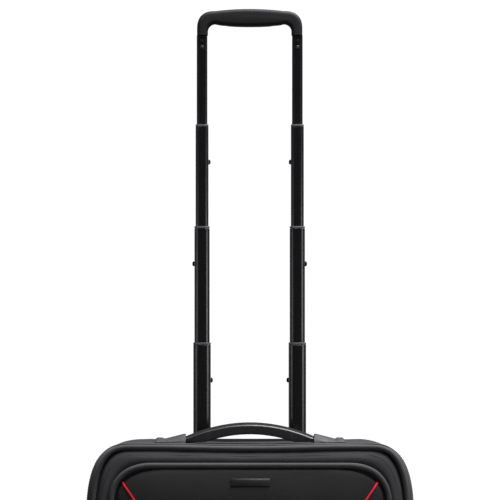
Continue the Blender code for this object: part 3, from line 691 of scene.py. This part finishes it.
def build_zippers():
    reach = 0.075    # size of the corners that the teeth turn round

    def out(p):
        if p[2] > TOP - reach and abs(p[0]) > HALF - reach:
            return (copysign(abs(p[0]) - (HALF - reach), p[0]), 0, p[2] - (TOP - reach))
        return (0, 0, 1) if p[2] > TOP - 0.01 else (copysign(1, p[0]), 0, 0)

    tooth = capsule(0.003, 0.00095, 0.0013)
    turned = [(b, a, c) for a, b, c in tooth[0]], [tuple(reversed(f)) for f in tooth[1]]
    for body, edge, start in (("case", 1, 0.0), ("lid", -1, 0.0008)):
        path = zipper_path(SPLIT_Y + edge * 0.0011, 0.0013)
        teeth = scatter("zipper_teeth_" + body, places_along(path, 0.0016, out, start), turned, "coil")
        place(teeth, body, "zipper", "zipper_chain_" + body)
        seam = zipper_path(SPLIT_Y + edge * 0.0032, 0.0016)
        stitch("zipper_stitches_" + body, seam, out, body, "zipper", 0.003, 0.0005)


# ---- pocket
POCKET_HALF, POCKET_TOP, POCKET_BOTTOM = 0.1625, 0.4246, 0.08
POCKET_MIDDLE = (POCKET_TOP + POCKET_BOTTOM) / 2
POCKET_EDGE = ring(0, POCKET_HALF, POCKET_TOP, POCKET_BOTTOM)
_angles = np.arctan2(POCKET_EDGE[:, 2] - POCKET_MIDDLE, POCKET_EDGE[:, 0])
_radii = np.hypot(POCKET_EDGE[:, 0], POCKET_EDGE[:, 2] - POCKET_MIDDLE)
_order = np.argsort(_angles)


def pocket_gauge(x, z):
    """1 on the pocket's edge, 0 at its middle."""
    r = np.hypot(x, z - POCKET_MIDDLE)
    return r / np.interp(np.arctan2(z - POCKET_MIDDLE, x), _angles[_order], _radii[_order], period=2 * pi)


def pocket_y(x, z):
    e = np.clip((1 - pocket_gauge(x, z)) * POCKET_HALF, 0, POCKET_HALF)
    near = np.clip(e, 0, 0.044)
    bulge = 0.0046 * (1 - np.exp(-e / 0.0012)) + 0.34 * (near - near ** 2 / 0.092)
    return -(0.0868 + bulge + 0.003 * (1 - (1 - e / POCKET_HALF) ** 2))


def spline(points, count):
    """Catmull-Rom line through points, evenly resampled."""
    p = np.asarray(points, float)
    p = np.concatenate([[2 * p[0] - p[1]], p, [2 * p[-1] - p[-2]]])
    fine = []
    for k in range(1, len(p) - 2):
        for t in np.linspace(0, 1, 16, endpoint=False):
            a, b, c, d = p[k - 1:k + 3]
            fine.append(0.5 * (2 * b + (c - a) * t + (2 * a - 5 * b + 4 * c - d) * t * t
                    + (3 * b - a - 3 * c + d) * t ** 3))
    fine.append(p[-2])
    return resample(fine, count)


TAPE_LINE = ((0.1548, 0.4080), (0.1483, 0.3985), (0.1411, 0.3883), (0.1285, 0.3710), (0.1148, 0.3510),
        (0.1055, 0.3280), (0.1030, 0.3000), (0.1025, 0.2300), (0.1030, 0.1650), (0.1080, 0.1420),
        (0.1250, 0.1180), (0.1560, 0.0925))


def build_pocket():
    rings = [ring(*row) for row in ((-0.0846, 0.1705, 0.4302, 0.0722), (-0.088, 0.1705, 0.4302, 0.0722),
            (-0.089, 0.169, 0.4286, 0.074), (-0.088, 0.1664, 0.427, 0.0766),
            (-0.0869, 0.1643, 0.4258, 0.0786))]
    for e in (0.0, 0.0005, 0.001, 0.0016, 0.0024, 0.0036, 0.0055, 0.008, 0.012, 0.018, 0.026, 0.036, 0.048,
              0.062, 0.078, 0.095, 0.112, 0.128, 0.142, 0.152):
        flat = POCKET_EDGE.copy()
        share = 1 - e / POCKET_HALF
        flat[:, 0] *= share
        flat[:, 2] = POCKET_MIDDLE + (flat[:, 2] - POCKET_MIDDLE) * share
        flat[:, 1] = pocket_y(flat[:, 0], flat[:, 2])
        rings.append(flat)
    pocket = skin("pocket_skin", rings, "pocket", fan_first=True, fan_last=True)
    rumple(pocket, 0.0006, 0.05, 2.2, lambda co: 1.0 if co.y < -0.0925 else 0.0)
    place(pocket, "lid", "panel", "pocket_panel")
    piping("pocket_piping", ring(-0.0888, 0.1686, 0.428, 0.0738), "lid", 0.0033, 18)

    def on_pocket(x, z, lift):
        return np.column_stack([x, pocket_y(x, z) - lift, z])

    edge_right = POCKET_EDGE[:len(POCKET_EDGE) // 2 + 1]
    for side, word in SIDES:
        line = spline(TAPE_LINE, 90) * (side, 1)
        tape = sweep("red_tape_" + word, on_pocket(*line.T, 0.001), rounded(0.0024, 0.001, 0.0004, 2), "red")
        place(tape, "lid", "panel")
        ends = [np.argmin(np.hypot(edge_right[:, 0] - abs(x), edge_right[:, 2] - z)) for x, z in line[[0, -1]]]
        border = resample(edge_right[min(ends):max(ends) + 1][::-1][:, [0, 2]], 90) * (side, 1)
        rows = [on_pocket(*(line + (border - line) * (share * 0.985)).T, 0.0004) for share in np.linspace(0, 1, 14)]
        panel = skin("side_panel_" + word, rows, "corner", closed=False)
        if np.mean([p.normal.y for p in panel.data.polygons]) > 0:
            panel.data.flip_normals()
        solidify(panel, 0.0003)
        place(panel, "lid", "panel")
        for name, shift in (("inner", -0.0034), ("outer", 0.0034)):
            seam = on_pocket(line[:, 0] + side * shift, line[:, 1], 0.0007)[4:-4]
            stitch(f"tape_stitches_{name}_{word}", seam, FRONT, "lid", "panel", 0.0032, 0.0006)

    low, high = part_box("badge_plate")
    middle, half = (low + high) / 2, (high - low) / 2
    badge = block("badge", -half, half, "badge", 0.0007, 2)
    seats = [float(pocket_y(0.0, z)) for z in (low.z, high.z)]
    lean = atan2(seats[1] - seats[0], high.z - low.z)
    seat = Matrix.Translation((0, sum(seats) / 2 - 0.0002, middle.z))
    badge.data.transform(seat @ Matrix.Rotation(-lean, 4, "X"))
    place(badge, "lid", "badge", "badge_plate")


# ---- trolley handle
TUBE_X, TUBE_Y = 0.0602, 0.078
TUBE_WALL = 0.001
RIVET_HEIGHTS = (0.9545, 0.945)


def hollow(name, low, high, mat):
    """A tube between two corners, open at both ends, with eased rims."""
    centre = (low + high) / 2
    width, depth = high.x - low.x, high.y - low.y
    radius, ease = 0.26 * width, 0.00025
    outer, inner, tight = (rounded(width - 2 * cut, depth - 2 * cut, radius - cut, 9) for cut in (0, TUBE_WALL, ease))
    loops = ((tight, low.z), (outer, low.z + ease), (outer, high.z - ease), (tight, high.z),
             (inner, high.z), (inner, low.z))
    verts = [(centre.x + a, centre.y + b, z) for section, z in loops for a, b in section]
    return even_normals(add_object(name, verts, quads(len(loops), len(outer), loop=True), mat, angle=32))


def build_lock(body, side, word):
    """A pin that is pushed into its tube as the stage goes in."""
    node = f"{body}_pin_{word}"
    low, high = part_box(node)
    face = low.x if abs(low.x - side * TUBE_X) < abs(high.x - side * TUBE_X) else high.x
    out = copysign(1, (low.x + high.x) / 2 - side * TUBE_X)
    reach, radius = high.x - low.x, (high.z - low.z) / 2
    dome = [(0.0, reach)] + [(radius * sin(t), reach * (0.25 + 0.75 * cos(t)))
            for t in np.linspace(0.2, QUARTER, 6)]
    dome += [(radius, -0.0002), (0.0, -0.0002)]
    centre = (face, TUBE_Y, (low.z + high.z) / 2)
    pin = revolve(f"{body}_lock_{word}", dome, centre, (out, 0, 0), "soft", 20)
    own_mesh(pin)
    place(pin, body, "pin", node)


def build_tubes():
    rivet = [(0.0, 0.0009), (0.0012, 0.0008), (0.0021, 0.0004), (0.0026, -0.0001), (0.0026, -0.0006), (0.0, -0.0006)]
    for side, word in SIDES:
        node = "base_tube_" + word
        place(hollow("base_sleeve_" + word, *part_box(node), "tube"), "case", "tube", node)
        for body in ("stage4", "stage3", "stage2", "stage1"):
            node = f"{body}_tube_{word}"
            place(hollow(f"{body}_profile_{word}", *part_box(node), "tube"), body, "tube", node)
            if body != "stage1":
                node = f"{body}_collar_{word}"
                # the collar ring's mid-grey colour is a painted highlight for the lit band at its top
                place(hollow(f"{body}_ring_{word}", *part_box(node), "collar"), body, "collar", node)
                build_lock(body, side, word)
        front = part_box("stage1_tube_" + word)[0].y
        for number, z in enumerate(RIVET_HEIGHTS):
            head = revolve(f"rivet_{word}_{number}", rivet, (side * TUBE_X, front, z), FRONT, "rivet", 24)
            place(head, "stage1", "pin")


def build_grip():
    low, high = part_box("grip")
    half, crown, corner, leg = high.x, 0.0026, 0.024, 0.0137
    foot = low.z - 0.012    # cut off level at low.z below
    outer = [(half - corner * (1 - max(cos(t), 0) ** (2 / 2.6)),
              high.z - crown - corner * (1 - sin(t) ** (2 / 2.6))) for t in np.linspace(0, QUARTER, 26)]
    flat = half - corner
    for step in range(1, 17):
        x = flat * (1 - step / 16)
        outer.append((x, high.z - crown * (x / flat) ** 2))
    under, fillet, belly = high.z - 0.0188, 0.0095, 0.003
    inner_x = half - leg
    reach = inner_x - fillet - 0.002

    def underside(share):
        return under - belly * sin(share * pi / 2) ** 0.45

    inner = [(inner_x, foot)] + [(inner_x - fillet * (1 - cos(t)), under - fillet * (1 - sin(t)))
            for t in np.linspace(0, QUARTER, 14)]
    inner += [(reach * (1 - step / 16), underside(step / 16)) for step in range(1, 17)]
    right = [(half, foot)] + outer
    shape = right + [(-x, z) for x, z in reversed(right[:-1])] + [(-x, z) for x, z in inner] + inner[-2::-1]
    grip = tube_from("grip_body", [[(x, y, z) for x, z in shape] for y in (low.y, high.y)], "grip", None)
    bevel = grip.modifiers.new("Bevel", "BEVEL")
    bevel.width, bevel.segments, bevel.limit_method, bevel.angle_limit = 0.0048, 6, "ANGLE", radians(50)
    slot_low, slot_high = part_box("grip_button")
    slot = block("button_slot_tool", slot_low - Vector((0.0012, 0.0005, 0.02)),
            slot_high + Vector((0.0012, 0.0005, 0.005)), "grip", 0.0008, 2)
    cutter = grip.modifiers.new("Slot", "BOOLEAN")
    cutter.operation, cutter.solver, cutter.object = "DIFFERENCE", "EXACT", slot
    apply_modifiers(grip)
    bpy.data.objects.remove(slot)

    def trim(bm):
        cut = bisect(bm, (0, 0, low.z), (0, 0, 1), clear_inner=True)
        bmesh.ops.holes_fill(bm, edges=[e for e in cut["geom_cut"] if isinstance(e, bmesh.types.BMEdge)])

    edit_mesh(grip.data, trim)
    smooth(grip.data, 38)
    place(grip, "stage1", "grip", "grip")

    rows = []
    for x in np.linspace(-1, 1, 25):
        px = x * slot_high.x
        bottom = underside(min(1.0, (1 - abs(px) / reach))) - 0.0006 + 0.0006 * abs(x) ** 6
        height = slot_high.z - bottom
        section = rounded(slot_high.y - slot_low.y, height, 0.0018, 4)
        rows.append([(px, TUBE_Y + a, bottom + height / 2 + b) for a, b in section])
    place(tube_from("release_button", rows, "button", 40), "grip_button", "button", "grip_button")


# ---- carry handles
CARRY_Y, EAR_X = 0.006, 0.0795
CARRY_SPLIT, CARRY_REST = 0.052, 0.0525


def crescent(x):
    upper = 0.0252 - 0.0172 * (x / EAR_X) ** 2
    return upper, max(0.0106 - 0.0086 * (x / CARRY_REST) ** 2, 0.0012)


def carry_section(x):
    """Flat front and back, a small bright bevel, and a crowned top."""
    upper, lower = crescent(x)
    height = upper - lower
    half = 0.01
    crown = min(0.0026, height * 0.3)
    bevel = min(0.0013, height * 0.15)
    low = min(0.0016, height * 0.2)
    shoulder = upper - crown
    section = [(half - low * (1 - sin(t)), lower + low * (1 - cos(t))) for t in np.linspace(0, QUARTER, 5)]
    section += [(half, shoulder - bevel), (half - bevel, shoulder)]
    section += [(a * (half - bevel), shoulder + crown * (1 - a * a)) for a in (0.97, 0.8, 0.6, 0.35, 0.12)]
    section += [(-a, b) for a, b in reversed(section)]
    return [(x, CARRY_Y + a, TOP + b) for a, b in section]


def build_carry_handle():
    def paint_top(obj):
        obj.data.materials.append(MAT["soft"])
        for polygon in obj.data.polygons:
            upper, lower = crescent(polygon.center.x)
            shoulder = TOP + upper - min(0.0026, (upper - lower) * 0.3)
            if polygon.center.z > shoulder and abs(polygon.normal.x) < 0.9:
                polygon.material_index = 1

    xs = np.linspace(-CARRY_SPLIT, CARRY_SPLIT, 41)
    core = tube_from("carry_core", [carry_section(x) for x in xs], "carry")
    paint_top(core)
    place(core, "carry_handle", "grip", "carry_grip")
    for side, word in SIDES:
        xs = side * np.linspace(CARRY_SPLIT, EAR_X + 0.005, 17)
        end = tube_from("carry_flex_" + word, [carry_section(x) for x in xs], "carry")
        paint_top(end)
        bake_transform(end)
        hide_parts("carry_end_" + word)


def build_ears():
    """Soft mounds that the handle's ends go into."""
    profile = ((0.0, 0.0098), (0.0008, 0.0103), (0.0022, 0.0105), (0.006, 0.0096), (0.012, 0.008),
               (0.019, 0.0061), (0.0255, 0.0044), (0.0272, 0.0044), (0.0285, 0.0053), (0.03, 0.0056),
               (0.035, 0.0056), (0.0365, 0.0052), (0.0382, 0.0032), (0.0388, 0.001))
    for side, word in SIDES:
        rows = []
        for along, height in profile:
            x = side * (EAR_X + along)
            top_half, foot_half = 0.022 - 0.95 * height, 0.0222
            section = [(-foot_half, -0.0016), (-foot_half, 0.0), (-foot_half + 0.0012, 0.0014)]
            for t in np.linspace(0.15, 1, 5):
                rise = 0.0014 + (height - 0.0014) * t - 0.0008 * t ** 4
                section.append((-(foot_half + (top_half - foot_half) * t), rise))
            section.append((-top_half + 0.0012, height))
            section += [(-a, b) for a, b in reversed(section)]
            rows.append([(x, CARRY_Y + a, TOP + b) for a, b in section])
        place(tube_from("ear_mound_" + word, rows, "ear", 40), "case", "plastic", "ear_" + word)


def build_side_handle():
    low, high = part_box("side_grip")
    middle = (low.z + high.z) / 2
    half_length = (high.z - low.z) / 2
    rows = []
    for step in range(41):
        along = -half_length + 2 * half_length * step / 40
        share = abs(along) / half_length
        thick = 0.006 - 0.0035 * share ** 3
        rise = 0.0054 - 0.004 * share ** 3
        half = 0.0145 - 0.0035 * share ** 2
        section = rounded(2 * half, thick, thick * 0.42, 4)
        rows.append([(HALF + CLEAR + rise + thick / 2 + b, a, middle + along) for a, b in section])
    grip = tube_from("side_strap", rows, "webbing")
    place(grip, "side_handle", "grip", "side_grip")
    for edge, word in ((-1, "front"), (1, "rear")):
        path = [(HALF + CLEAR + 0.0112 - 0.0072 * abs(t) ** 3, edge * (0.0118 - 0.003 * t * t),
                 middle + t * half_length * 0.86) for t in np.linspace(-1, 1, 40)]
        stitch("side_strap_stitches_" + word, path, RIGHT, "side_handle")


# ---- wheels and hinge
def build_wheels():
    for side, word in SIDES:
        body = "wheel_" + word
        low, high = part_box("tyre_" + word)
        centre = (low + high) / 2
        radius, half = (high.z - low.z) / 2, (high.x - low.x) / 2
        rim, ease = radius - 0.0065, 0.003
        shoulder = [(radius - ease + ease * sin(t), ease * (1 - cos(t))) for t in np.linspace(0, QUARTER, 6)]
        tread = [(rim, -half)] + [(r, -half + a) for r, a in shoulder]
        for groove in (-0.0035, 0.0035):
            tread += [(radius, groove - 0.0009), (radius - 0.0011, groove - 0.0005),
                      (radius - 0.0011, groove + 0.0005), (radius, groove + 0.0009)]
        tread += [(r, half - a) for r, a in reversed(shoulder)] + [(rim, half), (rim, -half)]
        place(revolve("tread_" + word, tread, centre, RIGHT, "rubber", 72), body, "rubber", "tyre_" + word)
        low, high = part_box("hub_" + word)
        half, edge, bore, web = (high.x - low.x) / 2, rim - CLEAR, 0.0033, 0.003
        face = [(bore, -half), (0.0062, -half), (0.007, -half + 0.0008), (0.0075, -web), (edge - 0.0042, -web),
                (edge - 0.0036, -half + 0.001), (edge - 0.0006, -half + 0.0006), (edge, -half + 0.0014)]
        disc = face + [(r, -a) for r, a in reversed(face)] + face[:1]
        place(revolve("wheel_disc_" + word, disc, centre, RIGHT, "hub", 60), body, "plastic", "hub_" + word)
        spoke = rounded(0.0038, 2 * half - 0.0034, 0.0008, 3)
        for number in range(5):
            t = 2 * pi * number / 5 + 0.3
            out = np.array([0, cos(t), sin(t)])
            path = [np.array(centre) + out * r for r in np.linspace(0.0068, edge - 0.003, 6)]
            place(sweep(f"spoke_{word}_{number}", path, spoke, "hub", across=RIGHT), body, "plastic")


def build_hinge():
    """Fabric strip along the bottom, sewn to the case and to the lid."""
    rows = []
    ys = np.linspace(-0.06, -0.0765, 12)
    xs = np.linspace(-0.15, 0.15, 61)
    for y in ys:
        share = (y - ys[0]) / (ys[-1] - ys[0])
        z = 0.0398 + 0.0064 * share - 0.0006 * sin(pi * share)
        rows.append(np.column_stack([xs, np.full(61, y), np.full(61, z)]))
    strip = skin("hinge_strip", rows, "tape", closed=False)
    if strip.data.polygons[0].normal.z > 0:
        strip.data.flip_normals()
    solidify(strip, 0.001)
    apply_modifiers(strip)
    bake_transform(strip)


def build_interior():
    cover = block("handle_cover", (-0.086, 0.0585, 0.045), (0.086, 0.0962, 0.444), "lining", 0.006, 4)
    cut_box(cover, (None, None, 0.436), (None, None, None))
    solidify(cover, 0.0008)
    place(cover, "case")
    for side, word in SIDES:
        path = [(side * 0.045, 0.0578, z) for z in np.linspace(0.06, 0.425, 30)]
        strap = sweep("packing_strap_" + word, path, rounded(0.02, 0.0012, 0.0005, 2), "webbing")
        place(strap, "case")
    path = [(x, 0.0569, 0.25) for x in np.linspace(-0.05, 0.05, 12)]
    place(sweep("packing_cross_strap", path, rounded(0.024, 0.0012, 0.0005, 2), "webbing"), "case")
    buckle = block("packing_buckle", (-0.019, 0.0525, 0.2345), (0.019, 0.0575, 0.2655), "plastic", 0.0018, 3)
    place(buckle, "case", "plastic")


def build_sliders():
    for word in ("upper", "lower"):
        for name, node, body, bevel in (("slider_plate_", "zip_slider_", "slider_", 0.0009),
                ("pull_tab_", "zip_tab_", "tab_", 0.0007)):
            piece = block(name + word, *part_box(node + word), "slider", bevel, 3)
            place(piece, body + word, "slider", node + word)


def paint_cad():
    """Looks for the nodes that are shown as they are in the CAD."""
    plastic = ("handle_bezel", "base_bracket", "wheel_housing_left", "wheel_housing_right", "front_foot_left",
               "front_foot_right", "rear_guard", "side_foot_front", "side_foot_rear", "side_mount_upper",
               "side_mount_lower")
    for key, names in (("plastic", plastic), ("steel", ("axle_left", "axle_right"))):
        for name in names:
            for material_slot in NODES[name].material_slots:
                material_slot.material = MAT[key]


# ---- camera and light
CAMERA_DISTANCE = 4.0
EYE_HEIGHT = 0.689
FOCAL_LENGTH = 227.88


def aim(obj, target):
    obj.rotation_mode = "QUATERNION"
    obj.rotation_quaternion = (Vector(target) - obj.location).to_track_quat("-Z", "Y")


def build_stage():
    camera = linked(bpy.data.objects.new("camera", bpy.data.cameras.new("camera")))
    camera.data.sensor_width = 36.0
    camera.data.lens = FOCAL_LENGTH
    camera.data.clip_end = 60.0
    camera.location = (-0.015, TUBE_Y - CAMERA_DISTANCE, EYE_HEIGHT)
    aim(camera, (0.0004, TUBE_Y, EYE_HEIGHT))
    bpy.context.scene.camera = camera

    bm = bmesh.new()
    bmesh.ops.create_circle(bm, cap_ends=True, segments=96, radius=3.2,
            matrix=Matrix.Translation((0, 0, -0.0005)))
    floor = object_from("floor", mesh_of("floor", bm), "floor")

    for name, where, wide, tall, power in (
            ("overhead", (0.5, -0.1, 2.4), 1.6, 1.2, 104.0),
            ("right_panel", (1.85, -2.1, 0.54), 2.3, 0.42, 6.5),
            ("left_panel", (-1.85, -2.1, 0.54), 2.3, 0.42, 3.0)):
        data = bpy.data.lights.new(name, "AREA")
        data.shape, data.size, data.size_y, data.energy = "RECTANGLE", wide, tall, power
        light = linked(bpy.data.objects.new(name, data))
        light.location = where
        aim(light, (0, 0, where[2] if where[2] < 2 else 0.4))
        light.visible_camera = False

    world = bpy.data.worlds.new("studio")
    bpy.context.scene.world = world
    world.use_nodes = True
    tree = world.node_tree
    tree.nodes.clear()

    direction = add_node(tree, "TexCoord").outputs["Generated"]
    depth = add_node(tree, "MapRange", {"Value": add_node(tree, "SeparateXYZ", {0: direction}).outputs["Y"],
            "From Min": -0.2, "From Max": 0.7, "To Min": 0.06, "To Max": 0.45},
            interpolation_type="SMOOTHSTEP")
    seen = add_node(tree, "LightPath").outputs["Is Camera Ray"]
    mix = add_node(tree, "Mix", {0: seen, 2: depth.outputs["Result"], 3: 1.05}, data_type="FLOAT")
    back = add_node(tree, "Background", {"Color": (1, 1, 1, 1), "Strength": mix.outputs[0]})
    add_node(tree, "OutputWorld", {0: back.outputs[0]})
    bpy.context.scene.view_settings.view_transform = "Standard"


build_stage()
build_body()
build_lid()
build_zippers()
build_pocket()
build_tubes()
build_grip()
build_carry_handle()
build_ears()
build_side_handle()
build_wheels()
build_hinge()
build_interior()
build_sliders()
paint_cad()

bpy.context.view_layer.update()
